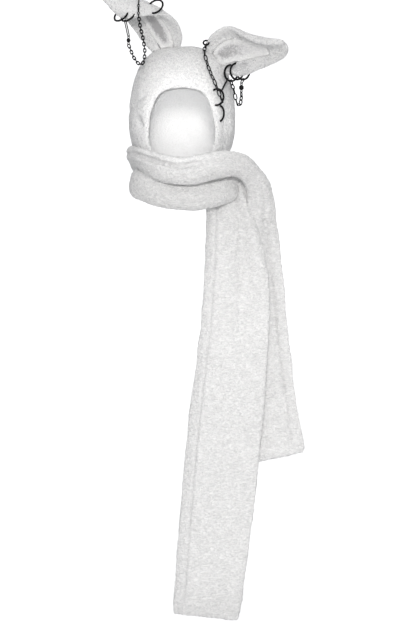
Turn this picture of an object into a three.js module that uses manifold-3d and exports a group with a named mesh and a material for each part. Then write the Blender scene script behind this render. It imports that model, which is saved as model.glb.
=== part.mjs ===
// Animal hood scarf: a padded fleece hood with two ears, a strip wrapped round the neck,
// a long front tail, and black hoops, wire links and chains pierced through the cloth.
// Millimetres, +Z up, the face opening towards -Y. The origin is the inside top of the crown.

import * as THREE from "three";
import { mergeVertices } from "three/addons/utils/BufferGeometryUtils.js";
import Module from "manifold-3d";

const wasm = await Module();
wasm.setup();

// Hood sizes
const HOOD_WIDTH = 236;
const HOOD_HEIGHT = 271;
const HOOD_DEPTH = 206;
const HOOD_WALL = 9;
const FACE_WIDTH = 134;
const FACE_TOP = 97;
const NECK_WIDTH = 166;
const NAPE_WIDTH = 150;
const CREASE_DEPTH = 6;

// Ear sizes
const EAR_LENGTH = 205;
const EAR_WIDTH = 124;
const EAR_THICK = 15;
const LINING_THICK = 3;

// Scarf sizes
const STRIP_WIDTH = 163;
const STRIP_THICK = 9;
const BAND_HEIGHT = 60;
const BAND_THICK = 24;
const BAND_SLACK_X = 22;
const BAND_SLACK_Y = 10;
const FRONT_TAIL_LENGTH = 974;
const SHORT_TAIL_LENGTH = 560;
const FOLD_DEPTH = 9;
const TUCK_DEPTH = 15;

// Metal sizes: hoops, chain links, wire links and clasps
const HOOP_RADIUS = 17.5;
const HOOP_WIRE = 3.4;
const HOOK_RADIUS = 6;
const HOOK_WIRE = 2;
const SMALL_CHAIN_WIDTH = 6;
const LARGE_LINK_WIRE = 2.2;
const LARGE_LINK_WIDTH = 8.8;
const LARGE_LINK_PITCH = 12.6;
const WIRE_LINK_WIRE = 1.1;
const WIRE_LINK_WIDTH = 7.8;
const CLASP_LOOP_RADIUS = 2.8;
const CLASP_LOOP_WIRE = 1.2;
const LEFT_BEAD_DIAMETER = 8.4;
const RIGHT_BEAD_DIAMETER = 10.5;
const TOGGLE_DIAMETER = 3.4;
const TOGGLE_LENGTH = 11;
const PIN_WIRE = 1.4;
const PIN_HEAD_DIAMETER = 3.4;
const PIN_STAND_OFF = 3.5;

// Clearances
const SEAM_GAP = 0.35;
const WIRE_GAP = 0.5;

// Facets
const RING_SEGMENTS = 12;
const RING_SIDES = 5;
const LINK_SEGMENTS = 10;
const LINK_SIDES = 5;

const V = (x, y, z) => new THREE.Vector3(x, y, z);
const VIEWER = V(0, -1, 0);
const mix = (a, b, share) => a + (b - a) * share;
const rad = THREE.MathUtils.degToRad;

// A table is a line of column names and its rows of numbers.
function table(columns, rows) {
  const names = columns.split(" ");
  return rows.map((row) => Object.fromEntries(names.map((name, i) => [name, row[i]])));
}

// A column's value at row number t, on a smooth curve through the rows.
function smooth(rows, name, t) {
  const last = rows.length - 1;
  const i = Math.min(Math.floor(t), last - 1);
  const value = (k) => rows[THREE.MathUtils.clamp(k, 0, last)][name];
  const [a, b, c, d] = [value(i - 1), value(i), value(i + 1), value(i + 2)];
  const f = t - i;
  const bend = 2 * a - 5 * b + 4 * c - d + f * (3 * (b - c) + d - a);
  return b + 0.5 * f * (c - a + f * bend);
}

const bump = (distance, width) => Math.exp(-((distance / width) ** 2));

// The solids

function geometryFrom(points, faces) {
  const geometry = new THREE.BufferGeometry();
  const numbers = points.flatMap((p) => [p.x, p.y, p.z]);
  geometry.setAttribute("position", new THREE.Float32BufferAttribute(numbers, 3));
  geometry.setIndex(faces.flat());
  return geometry;
}

function solidFrom(geometry) {
  geometry.deleteAttribute("normal");
  geometry.deleteAttribute("uv");
  const merged = mergeVertices(geometry, 1e-4);
  const vertProperties = new Float32Array(merged.attributes.position.array);
  const triVerts = new Uint32Array(merged.index.array);
  return new wasm.Manifold(new wasm.Mesh({ numProp: 3, vertProperties, triVerts }));
}

function geometryOf(solid) {
  const mesh = solid.getMesh();
  const geometry = new THREE.BufferGeometry();
  geometry.setAttribute("position", new THREE.Float32BufferAttribute(mesh.vertProperties, 3));
  geometry.setIndex(Array.from(mesh.triVerts));
  return geometry;
}

// Turns a closed surface's faces outward, whichever way its rows were laid.
function outward(points, faces) {
  const volume = faces.reduce((sum, [a, b, c]) => {
    const cross = new THREE.Vector3().crossVectors(points[b], points[c]);
    return sum + points[a].dot(cross);
  }, 0);
  return volume < 0 ? faces.map(([a, b, c]) => [a, c, b]) : faces;
}

// A thick sheet between two grids of points, closed along its four borders.
function sheetSolid(front, back) {
  const rows = front.length;
  const columns = front[0].length;
  const points = [...front.flat(), ...back.flat()];
  const faces = [];
  const quad = (a, b, c, d) => faces.push([a, b, c], [a, c, d]);
  const f = (i, j) => i * columns + j;
  const k = (i, j) => rows * columns + i * columns + j;
  for (let i = 0; i < rows - 1; i++) {
    for (let j = 0; j < columns - 1; j++) {
      quad(f(i, j), f(i + 1, j), f(i + 1, j + 1), f(i, j + 1));
      quad(k(i, j), k(i, j + 1), k(i + 1, j + 1), k(i + 1, j));
    }
    quad(f(i, 0), k(i, 0), k(i + 1, 0), f(i + 1, 0));
    quad(f(i, columns - 1), f(i + 1, columns - 1), k(i + 1, columns - 1), k(i, columns - 1));
  }
  for (let j = 0; j < columns - 1; j++) {
    quad(f(0, j), f(0, j + 1), k(0, j + 1), k(0, j));
    quad(f(rows - 1, j), k(rows - 1, j), k(rows - 1, j + 1), f(rows - 1, j + 1));
  }
  return solidFrom(geometryFrom(points, outward(points, faces)));
}

// A wire of round section along a closed flat path, whose plane has the given normal.
function closedWire(path, normal, wire, sides) {
  const middle = path.reduce((sum, p) => sum.add(p), V(0, 0, 0)).divideScalar(path.length);
  const points = [];
  const faces = [];
  path.forEach((p, i) => {
    const next = path[(i + 1) % path.length];
    const along = next.clone().sub(path[(i + path.length - 1) % path.length]).normalize();
    const out = new THREE.Vector3().crossVectors(along, normal).normalize();
    if (out.dot(p.clone().sub(middle)) < 0) out.negate();
    for (let j = 0; j < sides; j++) {
      const angle = (2 * Math.PI * j) / sides;
      const offset = out.clone().multiplyScalar((wire / 2) * Math.cos(angle));
      points.push(p.clone().add(offset).addScaledVector(normal, (wire / 2) * Math.sin(angle)));
    }
  });
  for (let i = 0; i < path.length; i++) {
    for (let j = 0; j < sides; j++) {
      const a = i * sides + j;
      const b = i * sides + ((j + 1) % sides);
      const c = ((i + 1) % path.length) * sides + ((j + 1) % sides);
      const d = ((i + 1) % path.length) * sides + j;
      faces.push([a, b, c], [a, c, d]);
    }
  }
  return solidFrom(geometryFrom(points, outward(points, faces)));
}

// The hood: arches from jaw to jaw, fanned from the face rim over the crown to the nape

const CROWN_Z = HOOD_WALL;
const HOOD_BASE_Z = CROWN_Z - HOOD_HEIGHT;

// grow: from the rim's half width to the hood's. nape: from the hood's half width to the nape's.
// neck: the jaw point's share of the neck's half width. foot_y, top_y: shares of the depth.
// foot_z: how far the jaw point is above the lower edge, a share of the height.
// rim_fall, back_fall: the arch's top below the crown, a share of the face rim's drop in the
// rows before the crown and of the hood's height in those behind it.
// square: the arch's power, 2 is an ellipse.
const ARCHES = table("grow nape neck foot_y foot_z top_y rim_fall back_fall square", [
  [0.0, 0.0, 0.6, -0.35, 0.026, -0.437, 1.0, 0.0, 3.4],
  [0.32, 0.0, 0.74, -0.32, 0.015, -0.41, 0.7, 0.0, 3.1],
  [0.7, 0.0, 0.88, -0.25, 0.007, -0.32, 0.32, 0.0, 2.9],
  [0.92, 0.0, 0.96, -0.15, 0.004, -0.18, 0.07, 0.0, 3.2],
  [1.0, 0.0, 1.0, -0.04, 0.0, 0.0, 0.0, 0.0, 3.5],
  [1.0, 0.03, 1.0, 0.07, 0.0, 0.2, 0.0, 0.04, 3.3],
  [1.0, 0.2, 0.95, 0.16, 0.0, 0.38, 0.0, 0.16, 2.8],
  [1.0, 0.48, 0.88, 0.23, 0.007, 0.515, 0.0, 0.39, 2.3],
  [1.0, 0.78, 0.81, 0.28, 0.015, 0.56, 0.0, 0.66, 2.2],
  [1.0, 1.0, 0.74, 0.31, 0.022, 0.52, 0.0, 0.91, 2.2],
]);

// Soft creases, by the side of the hood they're on and their two ends, shares of the height
// down from the crown and of the depth, with their width and depth as shares.
const CREASES = table("side z1 y1 z2 y2 width depth", [
  [-1, 0.36, -0.36, 0.47, -0.12, 0.045, 1.0],
  [-1, 0.56, -0.31, 0.64, -0.29, 0.03, 1.0],
  [1, 0.46, -0.29, 0.85, -0.3, 0.03, 0.7],
  [1, 0.2, 0.3, 0.62, 0.36, 0.08, 0.7],
  [-1, 0.25, 0.35, 0.7, 0.3, 0.08, 0.7],
]);

function creaseDepth(p) {
  let depth = 0;
  for (const crease of CREASES) {
    if (Math.sign(p.x) !== crease.side) continue;
    const from = V(0, crease.y1 * HOOD_DEPTH, CROWN_Z - crease.z1 * HOOD_HEIGHT);
    const to = V(0, crease.y2 * HOOD_DEPTH, CROWN_Z - crease.z2 * HOOD_HEIGHT);
    const near = new THREE.Line3(from, to).closestPointToPoint(V(0, p.y, p.z), true, V(0, 0, 0));
    const distance = near.distanceTo(V(0, p.y, p.z));
    depth += CREASE_DEPTH * crease.depth * bump(distance, crease.width * HOOD_HEIGHT);
  }
  return depth;
}

// One arch at row number t: points at equal steps from the left jaw over the top to the right.
function arch(t, steps) {
  const at = (name) => smooth(ARCHES, name, t);
  const rimHalf = FACE_WIDTH / 2 + HOOD_WALL;
  const half = mix(mix(rimHalf, HOOD_WIDTH / 2, at("grow")), NAPE_WIDTH / 2, at("nape"));
  const neckHalf = (NECK_WIDTH / 2) * at("neck");
  const foot = V(0, at("foot_y") * HOOD_DEPTH, HOOD_BASE_Z + at("foot_z") * HOOD_HEIGHT);
  const fall = FACE_TOP * at("rim_fall") + HOOD_HEIGHT * at("back_fall");
  const top = V(0, at("top_y") * HOOD_DEPTH, CROWN_Z - fall);
  const fine = [];
  for (let i = 0; i <= 240; i++) {
    const angle = (Math.PI * i) / 240;
    const rise = Math.sin(angle) ** (2 / at("square"));
    const narrow = Math.max(0, 1 - rise / 0.38) ** 2;
    const reach = mix(half, neckHalf, narrow) * Math.abs(Math.cos(angle)) ** (2 / at("square"));
    const p = foot.clone().lerp(top, rise);
    p.x = -Math.sign(Math.cos(angle)) * reach;
    fine.push(p);
  }
  const lengths = [0];
  for (let i = 1; i < fine.length; i++) lengths.push(lengths[i - 1] + fine[i].distanceTo(fine[i - 1]));
  const points = [];
  for (let j = 0, i = 0; j <= steps; j++) {
    const want = (lengths[lengths.length - 1] * j) / steps;
    while (i < fine.length - 2 && lengths[i + 1] < want) i++;
    const share = (want - lengths[i]) / (lengths[i + 1] - lengths[i]);
    points.push(fine[i].clone().lerp(fine[i + 1], share));
  }
  return points;
}

const HOOD_STEPS = 20;
const HOOD_STATIONS = [0, 0.05, 0.15, 0.45, 1, 1.7, 2.5, 3.3, 4.2, 5.1, 6, 6.9, 7.8, 8.8, 9];
const hoodGrid = HOOD_STATIONS.map((t) => arch(t, HOOD_STEPS));

// Outward normals of the hood's surface at the grid's points.
const hoodNormals = hoodGrid.map((row, i) => row.map((p, j) => {
  const a = hoodGrid[Math.max(i - 1, 0)][j];
  const b = hoodGrid[Math.min(i + 1, hoodGrid.length - 1)][j];
  const c = row[Math.max(j - 1, 0)];
  const d = row[Math.min(j + 1, row.length - 1)];
  return new THREE.Vector3().crossVectors(d.clone().sub(c), b.clone().sub(a)).normalize();
}));

const hoodSurface = (offset) => hoodGrid.map((row, i) => row.map((p, j) => {
  return p.clone().addScaledVector(hoodNormals[i][j], offset(i, j) - creaseDepth(p));
}));

// The rim and the neck edge are rounded: the wall thins over the last few millimetres.
function hoodEdge(i) {
  const round = { 0: 0.45, 1: 0.2, 2: 0.05, [HOOD_STATIONS.length - 1]: 0.2 };
  return (round[i] ?? 0) * HOOD_WALL;
}

function makeHood() {
  const outer = hoodSurface((i) => -hoodEdge(i));
  const inner = hoodSurface((i) => hoodEdge(i) - HOOD_WALL);
  return sheetSolid(outer, inner);
}

// The hood's whole outline as a filled solid, grown by a gap. Ears and wraps are cut to it.
function makeHoodForm(gap) {
  const outer = hoodSurface(() => gap);
  outer.unshift(outer[0].map((p) => p.clone().add(V(0, -gap, 0))));
  const low = outer.map((row) => row.map((p, j) => {
    const across = mix(row[0].x, row[row.length - 1].x, j / (row.length - 1));
    return V(across, row[0].y, row[0].z - gap);
  }));
  return sheetSolid(outer, low);
}

// The ears: arc-shaped sections along a curved centre line

// x, y, z: the centre line from the root, shares of the ear's length. width: share of the ear's
// width. curl: the arc's angle. face: how far its opening turns from the viewer down. thick: a
// share of the ear's thickness.
const EAR_COLUMNS = "x y z width curl face thick";
const EARS = {
  left: {
    side: -1,
    root: V(-0.127 * HOOD_WIDTH, 2, -4),
    rows: table(EAR_COLUMNS, [
      [0.09, 0.02, -0.13, 0.42, 110, 0, 0.8],
      [0.0, 0.0, 0.0, 0.5, 110, 0, 0.9],
      [-0.025, -0.01, 0.11, 0.68, 95, 5, 1.0],
      [-0.075, -0.03, 0.235, 0.8, 90, 20, 1.0],
      [-0.145, -0.09, 0.38, 0.92, 110, 45, 1.0],
      [-0.27, -0.15, 0.5, 1.06, 150, 80, 1.0],
      [-0.41, -0.2, 0.565, 1.03, 180, 105, 1.0],
      [-0.55, -0.24, 0.62, 0.84, 180, 112, 1.0],
      [-0.69, -0.27, 0.64, 0.5, 150, 110, 0.9],
      [-0.78, -0.29, 0.64, 0.18, 80, 105, 0.7],
    ]),
  },
  right: {
    side: 1,
    root: V(0.305 * HOOD_WIDTH, -6, -26),
    rows: table(EAR_COLUMNS, [
      [-0.14, 0.0, -0.09, 0.5, 130, 0, 0.8],
      [0.0, -0.04, 0.0, 0.56, 130, 0, 0.9],
      [0.07, -0.09, 0.05, 0.8, 125, 0, 1.0],
      [0.155, -0.13, 0.1, 0.98, 115, 5, 1.0],
      [0.28, -0.17, 0.125, 1.0, 110, 15, 1.0],
      [0.43, -0.25, 0.145, 0.86, 120, 40, 1.0],
      [0.57, -0.35, 0.135, 0.7, 125, 55, 1.0],
      [0.68, -0.43, 0.135, 0.5, 115, 60, 0.9],
      [0.74, -0.47, 0.135, 0.24, 80, 60, 0.8],
    ]),
  },
};

function earCentre(ear, t) {
  const at = (name) => smooth(ear.rows, name, t) * EAR_LENGTH;
  return ear.root.clone().add(V(at("x"), at("y"), at("z")));
}

// A point of an ear: t is the row number along it, s goes from -1 on the upper edge to 1 on the
// lower edge, and rise is the height above the middle of its thickness, on the hollow side.
function earPoint(ear, t, s, rise) {
  const last = ear.rows.length - 1;
  const before = earCentre(ear, Math.max(t - 0.8, 0));
  const along = earCentre(ear, Math.min(t + 0.8, last)).sub(before).normalize();
  const toViewer = VIEWER.clone().addScaledVector(along, -VIEWER.dot(along)).normalize();
  const down = new THREE.Vector3().crossVectors(along, toViewer).multiplyScalar(ear.side);
  const face = rad(smooth(ear.rows, "face", t));
  const open = toViewer.multiplyScalar(Math.cos(face)).addScaledVector(down, Math.sin(face));
  const across = new THREE.Vector3().crossVectors(along, open).multiplyScalar(ear.side);
  const curl = rad(smooth(ear.rows, "curl", t));
  const radius = (smooth(ear.rows, "width", t) * EAR_WIDTH) / curl;
  const angle = (curl / 2) * s;
  const p = earCentre(ear, t);
  p.addScaledVector(across, (radius - rise) * Math.sin(angle));
  p.addScaledVector(open, radius - (radius - rise) * Math.cos(angle));
  return p;
}

const earHalfThick = (ear, t, s) => {
  const edge = Math.max(0.3, Math.sqrt(1 - Math.min(1, s ** 6)));
  return (EAR_THICK / 2) * smooth(ear.rows, "thick", t) * edge;
};

const EAR_ACROSS = [-1, -0.92, -0.72, -0.48, -0.24, 0, 0.24, 0.48, 0.72, 0.92, 1];
const earStations = (ear) => {
  const last = ear.rows.length - 1;
  const count = 2 * last;
  return Array.from({ length: count + 1 }, (_, i) => (last * i) / count);
};

function makeEar(ear, grow = 0) {
  const stations = earStations(ear);
  const side = (sign) => stations.map((t) => EAR_ACROSS.map((s) => {
    return earPoint(ear, t, s, sign * (earHalfThick(ear, t, s) + grow));
  }));
  return sheetSolid(side(1), side(-1));
}

// The lining is a thinner sheet that lies in the ear's hollow.
function makeLining(ear) {
  const stations = earStations(ear).filter((t) => t >= 1 && t <= ear.rows.length - 3);
  const across = EAR_ACROSS.filter((s) => Math.abs(s) < 0.7);
  const lay = (height) => stations.map((t) => across.map((s) => {
    return earPoint(ear, t, s, height(earHalfThick(ear, t, s)));
  }));
  const sheet = sheetSolid(lay((half) => half + SEAM_GAP + LINING_THICK), lay((half) => half / 2));
  return sheet.subtract(makeEar(ear, SEAM_GAP));
}

// The strips

// Each station of a strip: its centre, its width and thickness, the direction its outer side
// faces, how round its section is, and its folds.
function stripSolid(stations, across, fold, grow = 0) {
  const front = [];
  const back = [];
  stations.forEach((station, i) => {
    const before = stations[Math.max(i - 1, 0)].centre;
    const after = stations[Math.min(i + 1, stations.length - 1)].centre;
    const along = after.clone().sub(before).normalize();
    const face = rad(station.face);
    const out = V(Math.sin(face), -Math.cos(face), 0);
    out.addScaledVector(along, -out.dot(along)).normalize();
    const wide = new THREE.Vector3().crossVectors(out, along);
    const lay = (sign) => across.map((s) => {
      const edge = Math.max(0.28, Math.sqrt(1 - Math.min(1, Math.abs(s) ** station.round)));
      const half = (station.thick / 2) * edge + grow;
      const p = station.centre.clone().addScaledVector(wide, s * (station.width / 2 + grow));
      return p.addScaledVector(out, fold(station, s, sign) + sign * half);
    });
    front.push(lay(1));
    back.push(lay(-1));
  });
  return sheetSolid(front, back);
}

function stationsOf(rows, place, count) {
  const last = rows.length - 1;
  return Array.from({ length: count + 1 }, (_, i) => {
    const t = (last * i) / count;
    return place(Object.fromEntries(Object.keys(rows[0]).map((name) => [name, smooth(rows, name, t)])));
  });
}

const LOOP_X = NECK_WIDTH / 2 + BAND_THICK / 2 + BAND_SLACK_X;
const LOOP_Y = HOOD_DEPTH / 2 + BAND_THICK / 2 + BAND_SLACK_Y;

// The wrapped strip. x, y: shares of the loop's half width and half depth. z: from the hood's
// lower edge, a share of the band's height. face: the bearing that the outer side faces.
// width, thick: shares of the band's. round: the section's power. roll: the groove under the
// top roll, a share of the fold depth. fan: how far the soft gathers show. tuck: how far the
// part under the groove is drawn in, a share of the tuck depth.
const WRAP = table("x y z face width thick round roll fan tuck", [
  [-0.74, -0.1, -0.42, -88, 0.8, 0.7, 2.4, 0.0, 0.2, 0.0],
  [-0.89, -0.42, -0.5, -62, 0.9, 0.95, 2.4, 0.0, 0.3, 0.0],
  [-0.71, -0.72, -0.75, -36, 0.95, 1.0, 2.4, 0.0, 0.3, 0.0],
  [-0.28, -0.85, -1.0, -10, 1.0, 1.0, 2.4, 0.1, 0.3, 0.0],
  [0.22, -0.86, -1.05, 4, 1.0, 1.0, 2.4, 0.1, 0.3, 0.0],
  [0.68, -0.78, -0.9, 20, 1.0, 1.0, 2.4, 0.1, 0.4, 0.0],
  [1.0, -0.52, -0.66, 48, 0.9, 1.0, 2.4, 0.0, 0.5, 0.0],
  [1.08, -0.12, -0.45, 80, 0.9, 1.0, 2.4, 0.0, 0.3, 0.0],
  [0.98, 0.36, -0.2, 112, 1.0, 1.0, 2.4, 0.1, 0.3, 0.0],
  [0.62, 0.82, 0.0, 148, 1.0, 1.0, 2.4, 0.3, 0.3, 0.0],
  [0.0, 1.04, 0.16, 182, 1.0, 1.0, 2.4, 0.5, 0.3, 0.0],
  [-0.6, 0.86, 0.3, 216, 1.0, 1.0, 2.4, 0.5, 0.3, 0.0],
  [-0.93, 0.36, 0.38, 255, 0.95, 1.0, 2.4, 0.6, 0.3, 0.5],
  [-0.95, -0.2, 0.42, 280, 0.8, 1.0, 2.4, 0.8, 0.3, 1.0],
  [-0.82, -0.7, 0.32, 310, 0.75, 1.0, 2.4, 1.0, 0.2, 0.9],
  [-0.44, -0.97, -0.02, 340, 0.92, 1.0, 2.4, 1.0, 0.1, 0.2],
  [0.02, -1.05, -0.22, 358, 0.98, 1.0, 2.4, 1.0, 0.1, 0.0],
  [0.48, -1.03, -0.06, 366, 0.98, 1.0, 2.4, 0.8, 0.3, 0.0],
  [0.85, -0.95, 0.12, 372, 0.9, 1.0, 2.2, 0.4, 0.8, 0.0],
  [1.12, -0.85, 0.02, 376, 0.8, 1.0, 2.2, 0.0, 1.0, 0.0],
  [1.33, -0.74, -0.36, 374, 0.78, 0.95, 2.2, 0.0, 1.0, 0.0],
  [1.44, -0.66, -0.8, 372, 0.88, 0.8, 2.3, 0.0, 1.0, 0.0],
]);

const placeWrap = (row) => ({
  ...row,
  centre: V(row.x * LOOP_X, row.y * LOOP_Y, HOOD_BASE_Z + row.z * BAND_HEIGHT),
  width: row.width * BAND_HEIGHT,
  thick: row.thick * BAND_THICK,
});

// The short tail that the wrapped strip ends in. down: share of its length. x, y: from the
// shoulder, shares of the strip's width. width, thick: shares of the strip's.
const SHORT_TAIL = table("down x y face width thick round crease fan", [
  [0.0, 0.0, 0.0, 370, 0.36, 2.2, 2.4, 0.0, 1.0],
  [0.1, -0.03, 0.05, 366, 0.5, 1.6, 4.0, 0.3, 1.0],
  [0.21, -0.045, 0.06, 363, 0.64, 1.2, 6.0, 0.6, 0.8],
  [0.35, -0.06, 0.06, 360, 0.75, 1.0, 8.0, 0.8, 0.5],
  [0.5, -0.055, 0.05, 358, 0.83, 1.0, 8.0, 1.0, 0.3],
  [0.64, -0.02, 0.05, 358, 0.87, 1.0, 8.0, 1.0, 0.2],
  [0.8, 0.03, 0.05, 359, 0.9, 1.0, 8.0, 0.8, 0.1],
  [0.93, 0.1, 0.04, 360, 0.92, 1.0, 8.0, 0.6, 0.1],
  [1.0, 0.15, 0.04, 360, 0.92, 1.0, 8.0, 0.5, 0.1],
]);
const SHOULDER = V(1.47 * LOOP_X, -0.6 * LOOP_Y, HOOD_BASE_Z - 1.22 * BAND_HEIGHT);

const placeShortTail = (row) => ({
  ...row,
  roll: 0,
  tuck: 0,
  centre: V(row.x * STRIP_WIDTH, row.y * STRIP_WIDTH, -row.down * SHORT_TAIL_LENGTH).add(SHOULDER),
  width: row.width * STRIP_WIDTH,
  thick: row.thick * STRIP_THICK,
});

function wrapFold(station, s, sign) {
  const groove = sign > 0 ? -FOLD_DEPTH * station.roll * bump(s - 0.36, 0.14) : 0;
  const gathers = 0.28 * FOLD_DEPTH * station.fan * Math.cos(3.2 * Math.PI * s + 0.6);
  const crease = -0.8 * FOLD_DEPTH * (station.crease ?? 0) * bump(s - 0.55, 0.22);
  const tuck = -TUCK_DEPTH * station.tuck * THREE.MathUtils.smoothstep(0.4 - s, 0, 1);
  return groove + gathers + crease + tuck;
}

const WRAP_ACROSS = [-1, -0.88, -0.62, -0.3, 0, 0.2, 0.36, 0.54, 0.8, 1];
const wrapStations = [
  ...stationsOf(WRAP, placeWrap, 36),
  ...stationsOf(SHORT_TAIL, placeShortTail, 12),
];

const makeWrap = (grow) => stripSolid(wrapStations, WRAP_ACROSS, wrapFold, grow);

// The long tail. down: share of its length from the hood's lower edge. x: from the hood's
// middle, y: from the hood's front, shares of the strip's width. turn: how far the edge strip
// beside the lengthwise seam turns back. valley: the soft hollow on the other side.
const FRONT_TAIL = table("down x y width thick round fan turn valley", [
  [0.0, 0.4, 0.15, 0.42, 1.1, 6, 0.6, 0.0, 0.0],
  [0.04, 0.53, 0.12, 0.56, 1.1, 6, 0.9, 0.0, 0.0],
  [0.085, 0.63, 0.08, 0.6, 1.1, 6, 1.0, 0.2, 0.2],
  [0.15, 0.675, 0.02, 0.7, 1.05, 8, 0.9, 0.4, 0.7],
  [0.215, 0.715, -0.02, 0.81, 1.0, 8, 0.6, 0.5, 1.0],
  [0.28, 0.735, -0.05, 0.88, 1.0, 8, 0.3, 0.5, 1.0],
  [0.37, 0.7, -0.06, 0.91, 1.0, 8, 0.15, 0.6, 0.7],
  [0.46, 0.65, -0.07, 0.935, 1.0, 8, 0.1, 0.8, 0.3],
  [0.55, 0.595, -0.06, 0.975, 1.0, 8, 0.1, 1.0, 0.2],
  [0.64, 0.535, -0.05, 0.97, 1.0, 8, 0.1, 1.0, 0.3],
  [0.73, 0.49, -0.05, 0.965, 1.0, 8, 0.1, 0.8, 0.2],
  [0.82, 0.43, -0.05, 0.945, 1.0, 8, 0.15, 0.6, 0.1],
  [0.91, 0.375, -0.06, 0.915, 1.0, 8, 0.2, 0.5, 0.2],
  [1.0, 0.32, -0.06, 0.87, 1.0, 8, 0.3, 0.4, 0.2],
]);

const TAIL_TOP = V(0, -0.42 * HOOD_DEPTH, HOOD_BASE_Z - SEAM_GAP);

const placeFrontTail = (row) => ({
  ...row,
  centre: V(row.x * STRIP_WIDTH, row.y * STRIP_WIDTH, -row.down * FRONT_TAIL_LENGTH).add(TAIL_TOP),
  width: row.width * STRIP_WIDTH,
  thick: row.thick * STRIP_THICK,
  face: 0,
});

function tailFold(station, s) {
  const gathers = 0.45 * FOLD_DEPTH * station.fan * Math.cos(2.9 * Math.PI * s);
  const turned = -1.2 * FOLD_DEPTH * station.turn * Math.max(0, (-0.72 - s) / 0.28);
  const valley = -0.7 * FOLD_DEPTH * station.valley * bump(s - 0.35, 0.2);
  return gathers + turned + valley;
}

const TAIL_ACROSS = [-1, -0.94, -0.72, -0.5, -0.25, 0, 0.2, 0.35, 0.52, 0.75, 0.94, 1];

// The metal: rings, oval links, chains, clasps

// A ring by its centre, its plane's turn about Z (0 faces the viewer) and its lean back.
function makeFrame(centre, turn, lean) {
  const right = V(Math.cos(rad(turn)), Math.sin(rad(turn)), 0);
  const up = V(0, 0, 1).applyAxisAngle(right, rad(lean));
  return { centre, right, up, normal: new THREE.Vector3().crossVectors(right, up) };
}

const ringPoint = (ring, radius, angle) => ring.centre.clone()
  .addScaledVector(ring.right, radius * Math.cos(rad(angle)))
  .addScaledVector(ring.up, radius * Math.sin(rad(angle)));

const ringTangent = (ring, angle) => ring.right.clone().multiplyScalar(-Math.sin(rad(angle)))
  .addScaledVector(ring.up, Math.cos(rad(angle)));

function ringSolid(ring, radius, wire, segments = RING_SEGMENTS) {
  const path = Array.from({ length: segments }, (_, i) => ringPoint(ring, radius, (360 * i) / segments));
  return closedWire(path, ring.normal, wire, RING_SIDES);
}

// An oval link whose inside reaches from one point to the other.
function linkSolid(from, to, normal, width, wire) {
  const along = to.clone().sub(from).normalize();
  const middle = from.clone().add(to).multiplyScalar(0.5);
  const half = from.distanceTo(to) / 2 + wire / 2;
  const flat = normal.clone().addScaledVector(along, -normal.dot(along)).normalize();
  const across = new THREE.Vector3().crossVectors(flat, along);
  const radius = (width - wire) / 2;
  const straight = Math.max(0.2 * radius, half - radius);
  const turns = LINK_SEGMENTS / 2 - 1;
  const path = [];
  for (const end of [1, -1]) {
    for (let i = 0; i <= turns; i++) {
      const angle = (Math.PI * i) / turns;
      const p = middle.clone().addScaledVector(along, end * (straight + (half - straight) * Math.sin(angle)));
      path.push(p.addScaledVector(across, end * radius * Math.cos(angle)));
    }
  }
  return closedWire(path, flat, wire, LINK_SIDES);
}

// A chain along a route between two wires: each end has the wire's place, direction and size.
// The links share the route evenly, quarter turned from one to the next.
function chainSolid(start, route, end, pitch, width, wire) {
  const curve = new THREE.CatmullRomCurve3([start.at, ...route, end.at], false, "centripetal");
  curve.arcLengthDivisions = 400;
  const count = Math.max(2, Math.round(curve.getLength() / pitch));
  const joints = Array.from({ length: count + 1 }, (_, i) => curve.getPointAt(i / count));
  const slack = -0.16 * wire;
  const startReach = start.wire / 2 + WIRE_GAP;
  const endReach = end.wire / 2 + WIRE_GAP;
  const alongs = joints.slice(1).map((p, i) => p.clone().sub(joints[i]).normalize());
  const flatten = (v, along) => v.clone().addScaledVector(along, -v.dot(along)).normalize();
  const normals = [flatten(start.wireAlong, alongs[0])];
  for (let i = 1; i < count; i++) {
    const turned = normals[i - 1].clone().applyAxisAngle(alongs[i - 1], Math.PI / 2);
    normals.push(flatten(turned, alongs[i]));
  }
  const wanted = flatten(end.wireAlong, alongs[count - 1]);
  const cross = new THREE.Vector3().crossVectors(normals[count - 1], wanted).dot(alongs[count - 1]);
  let miss = Math.atan2(cross, normals[count - 1].dot(wanted));
  if (miss > Math.PI / 2) miss -= Math.PI;
  if (miss < -Math.PI / 2) miss += Math.PI;
  const links = alongs.map((along, i) => {
    const normal = normals[i].clone().applyAxisAngle(along, (miss * i) / (count - 1));
    const from = joints[i].clone().addScaledVector(along, -(i === 0 ? startReach : slack));
    const to = joints[i + 1].clone().addScaledVector(along, i === count - 1 ? endReach : slack);
    return linkSolid(from, to, normal, width, wire);
  });
  return links.reduce((sum, link) => sum.add(link));
}

// The finest chain's outer form: a round tube along its route, between its two end wires.
function tubeSolid(start, route, end, width) {
  const curve = new THREE.CatmullRomCurve3([start.at, ...route, end.at], false, "centripetal");
  const from = (start.wire / 2 + WIRE_GAP) / curve.getLength();
  const to = 1 - (end.wire / 2 + WIRE_GAP) / curve.getLength();
  const steps = Math.ceil(curve.getLength() / (2 * width));
  const inner = Array.from({ length: steps + 1 }, (_, i) => curve.getPointAt(mix(from, to, i / steps)));
  const path = new THREE.CatmullRomCurve3(inner, false, "centripetal");
  const round = new THREE.Shape(Array.from({ length: 8 }, (_, i) => {
    const angle = (Math.PI * i) / 4;
    return new THREE.Vector2((width / 2) * Math.cos(angle), (width / 2) * Math.sin(angle));
  }));
  return solidFrom(new THREE.ExtrudeGeometry(round, { steps, extrudePath: path, curveSegments: 1 }));
}

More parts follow.
